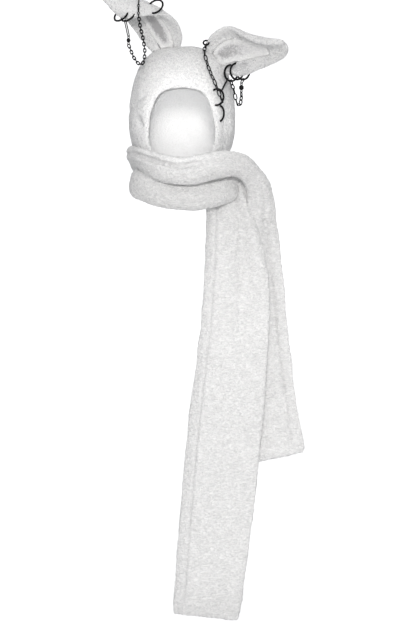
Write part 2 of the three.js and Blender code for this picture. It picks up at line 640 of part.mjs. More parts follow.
// One long thin link hooked round two wires.
function wireLink(start, end, grow = 0) {
  const along = end.at.clone().sub(start.at).normalize();
  const from = start.at.clone().addScaledVector(along, -(start.wire / 2 + WIRE_GAP));
  const to = end.at.clone().addScaledVector(along, end.wire / 2 + WIRE_GAP);
  from.addScaledVector(along, grow / 2);
  to.addScaledVector(along, -grow / 2);
  const sameWay = Math.sign(end.wireAlong.dot(start.wireAlong)) || 1;
  const normal = start.wireAlong.clone().addScaledVector(end.wireAlong, sameWay);
  return linkSolid(from, to, normal, WIRE_LINK_WIDTH + grow, WIRE_LINK_WIRE + grow);
}

// A straight pin from inside the cloth to its round head.
function pinSolid(from, to, grow = 0) {
  const tube = tubeSolid({ at: from, wire: 0 }, [], { at: to, wire: 0 }, PIN_WIRE + grow);
  const head = new THREE.IcosahedronGeometry((PIN_HEAD_DIAMETER + grow) / 2, 1);
  return tube.add(solidFrom(head.translate(to.x, to.y, to.z)));
}

// A clasp: a round body with a loop above and a loop below it.
function makeClasp(top, diameter, length, turn) {
  const rise = length / 2 + CLASP_LOOP_RADIUS;
  const centre = top.clone().add(V(0, 0, -rise - CLASP_LOOP_RADIUS));
  const profile = Array.from({ length: 7 }, (_, i) => {
    const angle = Math.PI * (i / 6 - 0.5);
    const reach = i === 0 || i === 6 ? 0 : (diameter / 2) * Math.cos(angle) ** 0.6;
    return new THREE.Vector2(reach, (length / 2) * Math.sin(angle));
  });
  const body = new THREE.LatheGeometry(profile, 10).rotateX(Math.PI / 2);
  body.translate(centre.x, centre.y, centre.z);
  const loops = [1, -1].map((sign) => makeFrame(centre.clone().add(V(0, 0, sign * rise)), turn, 0));
  const solids = loops.map((loop) => ringSolid(loop, CLASP_LOOP_RADIUS, CLASP_LOOP_WIRE, LINK_SEGMENTS));
  const end = (loop, angle) => ({
    at: ringPoint(loop, CLASP_LOOP_RADIUS, angle),
    wireAlong: ringTangent(loop, angle),
    wire: CLASP_LOOP_WIRE,
  });
  return {
    solid: solids.reduce((sum, solid) => sum.add(solid), solidFrom(body)),
    top: end(loops[0], 90),
    bottom: end(loops[1], -90),
  };
}

// Hoops pierced through an ear: t and s are the place on the ear, pierce is the ring's own
// angle there, turn and lean set its plane.
const EAR_HOOPS = {
  hoop_left_1: { ear: EARS.left, t: 5.95, s: -0.7, turn: -40, lean: -35, pierce: 40 },
  hoop_left_2: { ear: EARS.left, t: 5.5, s: -0.72, turn: -38, lean: -35, pierce: 35 },
  hoop_left_3: { ear: EARS.left, t: 4.8, s: -0.7, turn: -28, lean: -30, pierce: 205 },
  hoop_right_1: { ear: EARS.right, t: 3.05, s: 0.6, turn: 38, lean: 0, pierce: 60 },
  hoop_right_2: { ear: EARS.right, t: 3.7, s: 0.56, turn: 38, lean: 0, pierce: 60 },
  hoop_right_3: { ear: EARS.right, t: 4.2, s: 0.6, turn: -38, lean: 0, pierce: 60 },
};

// Hoops through the hood near the face rim: t is the row number, u the share from jaw to jaw.
const RIM_HOOPS = {
  hoop_hood_1: { t: 0.4, u: 0.7, turn: -35, lean: 0, pierce: 235 },
  hoop_hood_2: { t: 1.15, u: 0.74, turn: -50, lean: 0, pierce: 90 },
};

function hoodPoint(t, u, rise) {
  const fine = 4 * HOOD_STEPS;
  const j = Math.round(u * fine);
  const here = arch(t, fine);
  const along = arch(t + 0.1, fine)[j].sub(here[j]);
  const across = here[Math.min(j + 1, fine)].clone().sub(here[j]);
  const out = new THREE.Vector3().crossVectors(across, along).normalize();
  return here[j].clone().addScaledVector(out, rise - creaseDepth(here[j]));
}

// A ring of the given radius whose own angle "pierce" is at the point.
function piercing(point, radius, hoop) {
  const frame = makeFrame(point, hoop.turn, hoop.lean);
  return { ...frame, centre: ringPoint(frame, -radius, hoop.pierce) };
}

const rings = {};
for (const [name, hoop] of Object.entries(EAR_HOOPS)) {
  rings[name] = piercing(earPoint(hoop.ear, hoop.t, hoop.s, 0), HOOP_RADIUS, hoop);
}
for (const [name, hoop] of Object.entries(RIM_HOOPS)) {
  rings[name] = piercing(hoodPoint(hoop.t, hoop.u, -HOOD_WALL / 2), HOOP_RADIUS, hoop);
}
const RIM_HOOK = { t: 2.15, s: -0.96, turn: 0, lean: -30, pierce: 40 };
const rimHook = piercing(earPoint(EARS.right, RIM_HOOK.t, RIM_HOOK.s, 0), HOOK_RADIUS, RIM_HOOK);

const onHoop = (name, angle) => ({
  at: ringPoint(rings[name], HOOP_RADIUS, angle),
  wireAlong: ringTangent(rings[name], angle),
  wire: HOOP_WIRE,
});

// The routes of the chains between their ends, and where the clasps hang below their hoops.
const ROUTES = {
  chain_left: [
    V(-97, -74, -33), V(-88, -74, -39), V(-81, -74, -25), V(-82, -74, 8), V(-90, -80, 45),
  ],
  chain_right: [V(113, -62, -92), V(120, -61, -122), V(124, -60, -130), V(128, -60, -122)],
  chain_hood: [V(49, -72, -8), V(58, -86, -46), V(70, -101, -76)],
};
const CLASP_DROPS = { clasp_left: V(7, -1, -32), clasp_right: V(-4, -1, -7) };
const TOGGLE_AT = V(-93, -88, 90);
const TOGGLE_HOLD = V(-91, -66, 117);

// A clasp with a round bead that hangs at a drop from the lowest point of a hoop.
function hangingClasp(hoop, drop, diameter) {
  const top = onHoop(hoop, -90).at.add(drop);
  return makeClasp(top, diameter, diameter, EAR_HOOPS[hoop].turn);
}

const claspLeft = hangingClasp("hoop_left_2", CLASP_DROPS.clasp_left, LEFT_BEAD_DIAMETER);
const claspRight = hangingClasp("hoop_right_3", CLASP_DROPS.clasp_right, RIGHT_BEAD_DIAMETER);
const toggle = makeClasp(TOGGLE_AT, TOGGLE_DIAMETER, TOGGLE_LENGTH, 0);
const toggleTop = { at: TOGGLE_HOLD, wireAlong: toggle.top.wireAlong, wire: 0 };

const rimHookBottom = {
  at: ringPoint(rimHook, HOOK_RADIUS, -90),
  wireAlong: ringTangent(rimHook, -90),
  wire: HOOK_WIRE,
};
const largeChain = (start, route, end) => {
  return chainSolid(start, route, end, LARGE_LINK_PITCH, LARGE_LINK_WIDTH, LARGE_LINK_WIRE);
};

// The pin in the right ear's root: its point is in the cloth, its head stands off the cloth.
const PIN_POINT = { t: 1.4, s: -0.93 };
const PIN_HEAD = { t: 0.9, s: 0.03 };
const pinFrom = earPoint(EARS.right, PIN_POINT.t, PIN_POINT.s, 0);
const pinHeadRise = earHalfThick(EARS.right, PIN_HEAD.t, PIN_HEAD.s) + PIN_STAND_OFF;
const pinTo = earPoint(EARS.right, PIN_HEAD.t, PIN_HEAD.s, pinHeadRise);

const hoodLinkEnds = [onHoop("hoop_right_1", -125), onHoop("hoop_hood_1", 46)];

const metal = {
  wire_link_left: wireLink(onHoop("hoop_left_2", -90), claspLeft.top),
  clasp_left: claspLeft.solid,
  chain_left: tubeSolid(claspLeft.bottom, ROUTES.chain_left, toggle.bottom, SMALL_CHAIN_WIDTH),
  toggle_bar: toggle.solid,
  wire_link_toggle: wireLink(toggleTop, toggle.top),
  wire_link_right: wireLink(onHoop("hoop_right_3", -90), claspRight.top),
  clasp_right: claspRight.solid,
  chain_right: largeChain(onHoop("hoop_right_1", -90), ROUTES.chain_right, claspRight.bottom),
  wire_link_hood: wireLink(...hoodLinkEnds),
  rim_hook: ringSolid(rimHook, HOOK_RADIUS, HOOK_WIRE),
  chain_hood: largeChain(rimHookBottom, ROUTES.chain_hood, onHoop("hoop_hood_1", -35)),
  ear_pin: pinSolid(pinFrom, pinTo),
};
for (const [name, ring] of Object.entries(rings)) metal[name] = ringSolid(ring, HOOP_RADIUS, HOOP_WIRE);

// The tunnels that the pierced metal runs in.
const tunnels = Object.values(rings).map((ring) => {
  return ringSolid(ring, HOOP_RADIUS, HOOP_WIRE + 2 * WIRE_GAP);
});
tunnels.push(ringSolid(rimHook, HOOK_RADIUS, HOOK_WIRE + 2 * WIRE_GAP));
tunnels.push(wireLink(toggleTop, toggle.top, 2 * WIRE_GAP));
tunnels.push(wireLink(...hoodLinkEnds, 2 * WIRE_GAP));
tunnels.push(pinSolid(pinFrom, pinTo, 2 * WIRE_GAP));
const pierced = (solid) => tunnels.reduce((left, tunnel) => left.subtract(tunnel), solid);

// The cloth pieces

const hoodForm = makeHoodForm(SEAM_GAP);
const wrapSolid = makeWrap(0).subtract(hoodForm);
const frontTailSolid = stripSolid(stationsOf(FRONT_TAIL, placeFrontTail, 19), TAIL_ACROSS, tailFold)
  .subtract(makeWrap(SEAM_GAP))
  .subtract(hoodForm);

const cloth = {
  hood: pierced(makeHood()),
  ear_left: pierced(makeEar(EARS.left).subtract(hoodForm)),
  ear_right: pierced(makeEar(EARS.right).subtract(hoodForm)),
  ear_left_lining: pierced(makeLining(EARS.left).subtract(hoodForm)),
  ear_right_lining: pierced(makeLining(EARS.right).subtract(hoodForm)),
  scarf_wrap: wrapSolid,
  front_tail: frontTailSolid,
};

const FLEECE = { color: 0xe4e2e0, roughness: 0.95, metalness: 0 };
const PLUSH = { color: 0xb9b8ba, roughness: 0.9, metalness: 0 };
const BLACK_METAL = { color: 0x17171a, roughness: 0.35, metalness: 1 };

const scarf = new THREE.Group();
for (const [name, solid] of Object.entries({ ...cloth, ...metal })) {
  const clothLook = name.endsWith("lining") ? PLUSH : FLEECE;
  const look = name in metal ? BLACK_METAL : clothLook;
  const mesh = new THREE.Mesh(geometryOf(solid), new THREE.MeshStandardMaterial(look));
  mesh.name = name;
  scarf.add(mesh);
}

export default scarf;
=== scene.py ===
# %% [markdown]
# # An animal hood scarf in curly fleece, with black hoops and chains
# The real thing is a padded hood with two long ears. Its two front corners run on as
# strips: one wraps round the neck, the other hangs down in front.
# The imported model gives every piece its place, so it is loaded first and never changed.

import math

import bmesh
import bpy
import numpy as np
from mathutils import Matrix, Vector, noise
from mathutils.bvhtree import BVHTree
from mathutils.kdtree import KDTree


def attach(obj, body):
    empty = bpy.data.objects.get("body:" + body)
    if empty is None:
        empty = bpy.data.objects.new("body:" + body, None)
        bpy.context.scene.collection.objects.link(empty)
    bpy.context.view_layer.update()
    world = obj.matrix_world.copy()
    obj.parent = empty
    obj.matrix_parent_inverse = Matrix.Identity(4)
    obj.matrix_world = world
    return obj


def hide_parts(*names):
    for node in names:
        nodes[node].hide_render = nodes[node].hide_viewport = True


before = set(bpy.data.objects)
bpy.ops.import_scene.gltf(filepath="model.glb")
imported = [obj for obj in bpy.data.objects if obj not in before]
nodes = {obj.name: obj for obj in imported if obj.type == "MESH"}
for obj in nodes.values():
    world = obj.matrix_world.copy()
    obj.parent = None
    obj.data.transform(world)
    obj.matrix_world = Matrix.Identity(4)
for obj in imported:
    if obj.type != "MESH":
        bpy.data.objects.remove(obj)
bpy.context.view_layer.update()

# %% [markdown]
# ## The camera
# The photo was taken level, from about five metres, so its lines hardly converge. An
# orthographic camera would show no depth at all. A long lens at the real distance gives the
# same flat look and keeps a little depth. The sensor is fitted by its height, because the
# picture stands upright.

# %% Camera
CAMERA_DISTANCE = 5.0
CAMERA_X = 0.0572
CAMERA_Z = -0.5753
FRAME_HEIGHT = 1.3728
SENSOR_HEIGHT = 24.0

scene = bpy.context.scene
camera_data = bpy.data.cameras.new("photo_camera")
camera_data.sensor_fit = "VERTICAL"
camera_data.sensor_height = SENSOR_HEIGHT
camera_data.lens = SENSOR_HEIGHT * CAMERA_DISTANCE / FRAME_HEIGHT
camera = bpy.data.objects.new("photo_camera", camera_data)
camera.location = (CAMERA_X, -CAMERA_DISTANCE, CAMERA_Z)
camera.rotation_euler = (math.radians(90), 0, 0)
scene.collection.objects.link(camera)
scene.camera = camera
print("lens:", round(camera_data.lens, 1), "mm")

# %% [markdown]
# ## The backdrop
# White fleece stands on a white ground here. A plane and a wall would meet in a corner that
# shows as a line, so the floor sweeps up into the wall by a quarter spin. It is drawn from
# one edge: backwards, round the bend and up.

# %% Backdrop
FLOOR_Z = -1.5
FLOOR_FRONT = -9.0
FLOOR_HALF_WIDTH = 9.0
WALL_Y = 7.0
WALL_TOP = 4.5
SWEEP_RADIUS = 0.8
SWEEP_STEPS = 16


def add_object(name, mesh):
    """A new object at the origin for a mesh that already holds its place."""
    obj = bpy.data.objects.new(name, mesh)
    scene.collection.objects.link(obj)
    return obj


def mesh_from(bm, name):
    """The bmesh as a mesh, with smooth faces."""
    for face in bm.faces:
        face.smooth = True
    mesh = bpy.data.meshes.new(name)
    bm.to_mesh(mesh)
    bm.free()
    return mesh


def draw_on(bm, edges, step):
    """Draws edges out along a step and gives the far edges that this makes."""
    made = bmesh.ops.extrude_edge_only(bm, edges=edges)["geom"]
    far = [item for item in made if isinstance(item, bmesh.types.BMVert)]
    bmesh.ops.translate(bm, verts=far, vec=step)
    return [e for e in made if isinstance(e, bmesh.types.BMEdge) and set(e.verts) <= set(far)]


def make_backdrop():
    """A floor edge drawn backwards, bent up by a quarter spin, and drawn up the wall."""
    bm = bmesh.new()
    sides = (-FLOOR_HALF_WIDTH, FLOOR_HALF_WIDTH)
    front = bm.edges.new([bm.verts.new((x, FLOOR_FRONT, FLOOR_Z)) for x in sides])
    sweep_y = WALL_Y - SWEEP_RADIUS
    floor_end = draw_on(bm, [front], (0, sweep_y - FLOOR_FRONT, 0))
    bend = bmesh.ops.spin(
        bm, geom=floor_end, cent=(0, sweep_y, FLOOR_Z + SWEEP_RADIUS), axis=(1, 0, 0),
        angle=math.radians(90), steps=SWEEP_STEPS, use_duplicate=False)
    bend_end = [item for item in bend["geom_last"] if isinstance(item, bmesh.types.BMEdge)]
    draw_on(bm, bend_end, (0, 0, WALL_TOP - FLOOR_Z - SWEEP_RADIUS))
    bmesh.ops.recalc_face_normals(bm, faces=bm.faces)
    return add_object("backdrop", mesh_from(bm, "backdrop"))


backdrop = make_backdrop()
print("backdrop:", len(backdrop.data.polygons), "faces")

# %% [markdown]
# ### Backdrop paper
# Real studio paper is kept white by a lamp of its own. A second lamp here would also light
# the fleece, so the paper itself glows a little. Only its far half does: from the floor in
# front, the glow would light the folds from below.

# %% Backdrop paper
PAPER_WHITE = (0.9, 0.9, 0.9, 1)
GLOW_FROM_Y = 0.6
GLOW_FULL_Y = 1.5
GLOW_STRENGTH = 0.5


def new_material(name):
    """A node material, its node tree and its shader."""
    material = bpy.data.materials.new(name)
    material.use_nodes = True
    tree = material.node_tree
    return material, tree, tree.nodes["Principled BSDF"]


def add_node(tree, kind, **settings):
    """A node with its settings, a socket by its name with spaces as underscores."""
    node = tree.nodes.new(kind)
    for key, value in settings.items():
        if hasattr(node, key):
            setattr(node, key, value)
        else:
            node.inputs[key.replace("_", " ")].default_value = value
    return node


backdrop_paper, paper_tree, paper = new_material("backdrop_paper")
paper.inputs["Base Color"].default_value = PAPER_WHITE
paper.inputs["Roughness"].default_value = 1.0
paper.inputs["Emission Color"].default_value = (1, 1, 1, 1)
paper_place = add_node(paper_tree, "ShaderNodeTexCoord")
paper_axes = add_node(paper_tree, "ShaderNodeSeparateXYZ")
paper_glow = add_node(paper_tree, "ShaderNodeMapRange", From_Min=GLOW_FROM_Y,
                      From_Max=GLOW_FULL_Y, To_Max=GLOW_STRENGTH)
paper_tree.links.new(paper_place.outputs["Object"], paper_axes.inputs["Vector"])
paper_tree.links.new(paper_axes.outputs["Y"], paper_glow.inputs["Value"])
paper_tree.links.new(paper_glow.outputs["Result"], paper.inputs["Emission Strength"])
backdrop.data.materials.append(backdrop_paper)
print("material:", backdrop_paper.name)

# %% [markdown]
# ## Light
# Folds in white cloth disappear in light that is the same from all sides, so a little more
# comes from above. One soft box stands above the camera and one high in front of the
# object, and a dim bluish world fills the shade. Two narrow beams reach what those miss:
# one goes through the face opening into the hood, the other lies on the hanging strips.

# %% Light
WORLD_COLOUR = (0.96, 0.975, 1.0, 1)
WORLD_STRENGTH = 0.46
LAMP_COLOUR = (1.0, 0.98, 0.965)
BEAM_BLEND = 0.7
BEAM_SOFTNESS = 0.06
SOFT_BOXES = (
    # name, place, aim, size, power: metres and watts
    ("front", (0.06, -4.6, 0.7), (0.06, 0, -0.55), 0.9, 88),
    ("key", (0.5, -2.4, 2.6), (0.05, 0, -0.4), 1.6, 20),
)
BEAMS = (
    # name, place, aim, cone in degrees, power
    ("snoot", (0.0, -4.9, -0.5), (0.0, 0.08, -0.13), 2.9, 540),
    ("low", (0.1, -4.9, -0.7), (0.11, 0.0, -0.82), 12.0, 155),
)


def add_light(name, kind, place, aim, power):
    """A lamp at a place that looks at its aim, and its data."""
    light_data = bpy.data.lights.new(name, kind)
    light_data.energy = power
    light = bpy.data.objects.new(name, light_data)
    light.location = place
    light.rotation_euler = (Vector(aim) - Vector(place)).to_track_quat("-Z", "Y").to_euler()
    scene.collection.objects.link(light)
    return light_data


world = bpy.data.worlds.new("studio")
world.use_nodes = True
world.node_tree.nodes["Background"].inputs["Color"].default_value = WORLD_COLOUR
world.node_tree.nodes["Background"].inputs["Strength"].default_value = WORLD_STRENGTH
scene.world = world
scene.view_settings.view_transform = "Standard"

for name, place, aim, size, power in SOFT_BOXES:
    soft_box = add_light(name, "AREA", place, aim, power)
    soft_box.shape = "DISK"
    soft_box.size = size
    soft_box.color = LAMP_COLOUR

for name, place, aim, cone, power in BEAMS:
    beam = add_light(name, "SPOT", place, aim, power)
    beam.spot_size = math.radians(cone)
    beam.spot_blend = BEAM_BLEND
    beam.shadow_soft_size = BEAM_SOFTNESS
print("lights:", len(SOFT_BOXES) + len(BEAMS))

# %% [markdown]
# ## Curly fleece
# Teddy fleece is a knit with a short curly pile: nubs a few millimetres apart, with shade
# between them. Particle hair could make it, but takes millions of strands. Here the nubs are
# real bumps in the mesh, and each mesh point keeps how high up its nub it is, in an
# attribute called "curl", less the drawn folds' painted shadow. The material reads it to
# paint shade into the hollows. It paints the finer curls' hollows darker too, and adds these
# finer curls and threads as bump. It reads Object coordinates, which are metres.

# %% Fleece material
TUFT_SCALE = 330
THREAD_SCALE = 1100
CLOUD_SCALE = 14
CLOUD_SHARE = 0.06
THREAD_SHARE = 0.3
FLEECE_BUMP = 0.003
CURL_MIDDLE = 0.45
HOLLOW_STOP = 0.285


def ramp(tree, *stops):
    """A colour ramp with these stops: (position, colour)."""
    node = add_node(tree, "ShaderNodeValToRGB")
    elements = node.color_ramp.elements
    while len(elements) < len(stops):
        elements.new(0.5)
    for element, (position, colour) in zip(elements, stops):
        element.position = position
        element.color = (*colour, 1)
    return node


def fleece_material(name, shaded_hollow, middle, tip, grain=1.0, share=0.3):
    """Painted shade: pale at the curls' tips and darker in the hollows between them. Grain under
    1 lays the curls level, and the share says how much of the colour follows the mesh's own curls."""
    material, tree, shader = new_material(name)
    link = tree.links.new
    coords = add_node(tree, "ShaderNodeTexCoord")
    curl_and_fold_shade = add_node(tree, "ShaderNodeAttribute", attribute_name="curl")
    tufts = add_node(tree, "ShaderNodeTexNoise", Scale=TUFT_SCALE, Detail=2.0,
                     Roughness=0.55, Distortion=1.0)
    threads = add_node(tree, "ShaderNodeTexNoise", Scale=THREAD_SCALE, Detail=2.0, Roughness=0.6)
    clouds = add_node(tree, "ShaderNodeTexNoise", Scale=CLOUD_SCALE, Detail=2.0)
    lay = add_node(tree, "ShaderNodeMapping", Scale=(grain, 1.0, 1.0))
    link(coords.outputs["Object"], lay.inputs["Vector"])
    for texture in (tufts, threads, clouds):
        link(lay.outputs["Vector"], texture.inputs["Vector"])
    mixed = add_node(tree, "ShaderNodeMath", operation="MULTIPLY_ADD")
    mixed.inputs[1].default_value = share
    link(curl_and_fold_shade.outputs["Fac"], mixed.inputs[0])
    link(tufts.outputs["Fac"], mixed.inputs[2])
    low = HOLLOW_STOP + CURL_MIDDLE * share
    colour = ramp(tree, (low, shaded_hollow), (low + 0.18, middle), (low + 0.38, tip))
    link(mixed.outputs["Value"], colour.inputs["Fac"])
    patches = add_node(tree, "ShaderNodeMix", data_type="RGBA", blend_type="MULTIPLY",
                       Factor=CLOUD_SHARE)
    link(colour.outputs["Color"], patches.inputs["A"])
    link(clouds.outputs["Fac"], patches.inputs["B"])
    link(patches.outputs["Result"], shader.inputs["Base Color"])
    height = add_node(tree, "ShaderNodeMath", operation="MULTIPLY_ADD")
    height.inputs[1].default_value = THREAD_SHARE
    link(threads.outputs["Fac"], height.inputs[0])
    link(tufts.outputs["Fac"], height.inputs[2])
    bump = add_node(tree, "ShaderNodeBump", Strength=1.0, Distance=FLEECE_BUMP)
    link(height.outputs["Value"], bump.inputs["Height"])
    link(bump.outputs["Normal"], shader.inputs["Normal"])
    shader.inputs["Roughness"].default_value = 1.0
    shader.inputs["Specular IOR Level"].default_value = 0.1
    shader.inputs["Sheen Weight"].default_value = 0.2
    shader.inputs["Sheen Roughness"].default_value = 0.6
    return material


fleece = fleece_material(
    "curly_fleece", (0.66, 0.66, 0.665), (0.81, 0.81, 0.81), (0.97, 0.968, 0.96))
# A paler copy of the fleece for the ears: painted light, which lifts the ears that this light
# leaves greyer than the hood.
lit_ear_fleece = fleece_material(
    "lit_ear_fleece", (0.68, 0.68, 0.685), (0.92, 0.92, 0.92), (1.0, 0.998, 0.99), share=0.24)
level_fleece = fleece_material(
    "level_fleece", (0.72, 0.72, 0.72), (0.82, 0.819, 0.815), (0.98, 0.977, 0.97),
    grain=0.45, share=0.12)
# A paler copy for the hood's inner wall: painted light, which keeps the shaded inside nearly
# white.
brushed_and_lit = fleece_material(
    "brushed_and_lit_inside", (0.93, 0.93, 0.93), (0.96, 0.96, 0.96), (0.98, 0.98, 0.98))
print("materials:", fleece.name, lit_ear_fleece.name, level_fleece.name, brushed_and_lit.name)

# %% [markdown]
# ## From the plain solid to padded cloth
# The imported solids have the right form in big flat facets. Each cloth piece starts as a
# copy of one, merged and turned back to four-sided faces, then rounded by subdivision.
# Subdividing on would make long thin faces on long thin pieces. A voxel remesh lays an even
# grid of small faces all over instead, ready for fine relief.

# %% Copies and modifiers
def copy_of(node, swell=0.0):
    """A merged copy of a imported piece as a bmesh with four-sided faces."""
    bm = bmesh.new()
    bm.from_mesh(nodes[node].data)
    bmesh.ops.remove_doubles(bm, verts=bm.verts, dist=1e-5)
    bmesh.ops.join_triangles(
        bm, faces=bm.faces, angle_face_threshold=0.7, angle_shape_threshold=0.9)
    bm.normal_update()
    for vert in bm.verts:
        vert.co += vert.normal * swell
    return bm


def with_modifiers(obj, modifiers):
    """Applies modifiers, given as (type, settings), to the object in their order."""
    for kind, settings in modifiers:
        modifier = obj.modifiers.new(kind, kind)
        for key, value in settings.items():
            setattr(modifier, key, value)
    depsgraph = bpy.context.evaluated_depsgraph_get()
    mesh = bpy.data.meshes.new_from_object(obj.evaluated_get(depsgraph))
    obj.modifiers.clear()
    old = obj.data
    obj.data = mesh
    bpy.data.meshes.remove(old)


hood_copy = copy_of("hood")
print("hood copy:", len(hood_copy.faces), "faces")
hood_copy.free()

# %% [markdown]
# ### Relief
# The even grid is shaped by moving each point a little along its normal. A noise whose
# absolute value is taken gives round nubs with sharp hollows between them, as curls have. A
# slow noise gives soft dents, and folds are short lines drawn on the front, each a groove
# with a width, a depth and a painted shade. A Displace modifier could do the noise, but not
# the folds. The noise that bends the curls starts from the clock unless it is given a seed,
# so it gets one.

# %% Relief
NUB_SIZE = 0.0042
NUB_HEIGHT = 0.0026
DENT_SIZE = 0.045
DENT_DEPTH = 0.0022
FOLD_REACH = 2.5
CURL_SEED = 7
noise.seed_set(CURL_SEED)


def curl(point, stretch):
    """From 0 in the hollows between the curls to 1 on their tips."""
    place = Vector((point.x / stretch, point.y, point.z)) / NUB_SIZE
    place += 0.6 * noise.noise_vector(place * 0.45)
    big = abs(noise.noise(place))
    small = abs(noise.noise(place * 2.3))
    return min(1.0, 2.3 * big) ** 0.7 * 0.75 + min(1.0, 2.3 * small) ** 0.7 * 0.25


def groove(point, normal, folds):
    """How deep the drawn folds press in here, in metres, and how much painted shade they get."""
    depth = shadow = 0.0
    if normal.y > 0.2:
        return depth, shadow
    x, z = 1000 * point.x, 1000 * point.z
    for x1, z1, x2, z2, width, deepest, dark in folds:
        run_x, run_z = x2 - x1, z2 - z1
        share = ((x - x1) * run_x + (z - z1) * run_z) / (run_x**2 + run_z**2)
        share = min(1.0, max(0.0, share))
        away = math.hypot(x - x1 - share * run_x, z - z1 - share * run_z) / width
        if away < FOLD_REACH:
            press = math.exp(-away * away)
            depth = max(depth, deepest * press / 1000)
            shadow = max(shadow, dark * press)
    return depth, shadow


def relief(obj, dent, stretch, folds, lift):
    """Moves each point along its normal, and keeps the curl's height less the folds' painted
    shadow.
    """
    mesh = obj.data
    moved = np.empty(len(mesh.vertices) * 3, np.float32)
    shade = np.empty(len(mesh.vertices), np.float32)
    for vert in mesh.vertices:
        point, normal = vert.co, vert.normal
        pressed, shadow = groove(point, normal, folds)
        tip = curl(point, stretch)
        raised, keep = lift(point, normal)
        height = NUB_HEIGHT * keep * (tip - 0.4) + dent * noise.noise(point / DENT_SIZE)
        height += raised - pressed
        moved[3 * vert.index : 3 * vert.index + 3] = point + normal * height
        shade[vert.index] = tip - shadow
    mesh.vertices.foreach_set("co", moved)
    mesh.attributes.new("curl", "FLOAT", "POINT").data.foreach_set("value", shade)
    mesh.shade_smooth()
    mesh.update()


print("nubs:", 1000 * NUB_SIZE, "mm, dents:", 1000 * DENT_DEPTH, "mm deep")

# %% [markdown]
# ### One recipe for every cloth piece
# The hood, the ears, their linings and the strips differ only in their material, the size of
# the grid, the folds and where the pile stands up. So one function makes them all.

# %% Cloth pieces
SWELL = 0.0012


def even(point, normal):
    """No lift, and the whole height of the curls."""
    return 0.0, 1.0


def cloth_piece(node, material, voxel, smooth=3, dent=DENT_DEPTH, stretch=1.0,
                folds=(), lift=even):
    """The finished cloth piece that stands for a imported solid."""
    obj = add_object(node + "_cloth", mesh_from(copy_of(node, SWELL), node + "_cloth"))
    with_modifiers(obj, [
        ("SUBSURF", {"levels": 2, "render_levels": 2}),
        ("REMESH", {"mode": "VOXEL", "voxel_size": voxel, "use_smooth_shade": True}),
        ("SMOOTH", {"factor": 0.5, "iterations": smooth}),
    ])
    relief(obj, dent, stretch, folds, lift)
    obj.data.materials.clear()
    obj.data.materials.append(material)
    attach(obj, "root")
    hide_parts(node)
    print(obj.name, len(obj.data.polygons), "faces")
    return obj


print("swell before subdivision:", 1000 * SWELL, "mm")

# %% [markdown]
# ## The hood
# A padded shell with a crease and a slit-like dent in one cheek and the line of a band in
# the other side. Its inside is brushed flat, so the curls there are short, and a second,
# paler material goes on the faces that look at the hood's middle: painted light, which keeps
# the shaded inside nearly white. Two separate shells could do the same, but they would have
# to be joined along the rim.

# %% The hood
HOOD_MIDDLE = Vector((0, 0.01, -0.13))
INNER_CURLS = 0.2
HOOD_FOLDS = (
    # x1, z1, x2, z2, width, depth, in millimetres, and how dark the groove's painted shade is
    (-113, -135, -76, -103, 5.0, 2.5, 0.3),
    (-94, -153, -87, -172, 4.0, 7.0, 1.0),
    (90, -130, 90, -226, 3.5, 1.6, 0.25),
)


def inside(point, normal):
    """True on the hood's inner wall, whose normals face its middle."""
    return normal.dot(HOOD_MIDDLE - point) > 0.25 * (HOOD_MIDDLE - point).length


def hood_lift(point, normal):
    """The curls are short on the inner wall."""
    return (0.0, INNER_CURLS) if inside(point, normal) else (0.0, 1.0)


hood = cloth_piece("hood", fleece, 0.0022, folds=HOOD_FOLDS, lift=hood_lift)
hood.data.materials.append(brushed_and_lit)
for face in hood.data.polygons:
    face.material_index = int(inside(face.center, face.normal))

# %% [markdown]
# ## The ears
# Each ear is a padded pouch, cupped at the root, with short creases where it is sewn and
# pierced. Its lining is a separate piece, whose border would show as a hard line. The pile
# stands up in a low wall round it and hides it. A search tree of the lining's faces tells
# each point of the ear how far beside the lining it lies.

# %% The ears
PILE_REACH = 0.012
PILE_RISE = 0.0016
PILE_FROM_BORDER = 0.0035
PILE_WIDTH = 0.003
UNDER_LINING = 0.0012
UNDER_LINING_DROP = 0.0006
EAR_FOLDS = {
    # x1, z1, x2, z2, width, depth, dark, the strength of the painted shade
    "ear_left": (
        (-52, 17, -37, -10, 3.0, 4.0, 1.2),
        (-37, -10, -48, -22, 3.0, 4.0, 1.2),
        (-37, -10, -20, -9, 2.6, 3.0, 1.2),
        (-20, -9, -12, -14, 2.6, 3.0, 1.0),
    ),
    # The last row is no fold but a broad soft shade along the root.
    "ear_right": (
        (106, -34, 101, -47, 2.6, 3.5, 1.0),
        (118, -28, 113, -43, 2.6, 3.5, 1.0),
        (132, -33, 139, -35, 2.4, 5.0, 1.8),
        (86, -40, 132, -44, 18.0, 0.0, 1.0),
    ),
}


def make_ear(node, folds):
    """An ear whose pile hides its lining's border."""
    lining = copy_of(node + "_lining")
    lining_faces = BVHTree.FromBMesh(lining)
    lining.free()

    def pile_round_lining(point, normal):
        """A low wall of pile beside the lining, and none under it."""
        near, _, _, away = lining_faces.find_nearest(point)
        if away > PILE_REACH:
            return 0.0, 1.0
        offset = near - point
        sideways = (offset - normal * offset.dot(normal)).length
        if sideways < UNDER_LINING:
            return -UNDER_LINING_DROP, 0.0
        step = (sideways - PILE_FROM_BORDER) / PILE_WIDTH
        return PILE_RISE * math.exp(-step * step), 1.0

    return cloth_piece(
        node, lit_ear_fleece, 0.0014, folds=folds, lift=pile_round_lining)


for node, folds in EAR_FOLDS.items():
    make_ear(node, folds)

# %% [markdown]
# ## The two strips
# The strips are doubled fleece, cut straight. The first crosses the neck twice and ends as
# the short tail. The second hangs in front, with a seam along one side. On the strips the
# pile lies level, so their curls are stretched sideways. A cloth simulation could drape
# them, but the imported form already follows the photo, so folds are only drawn on.

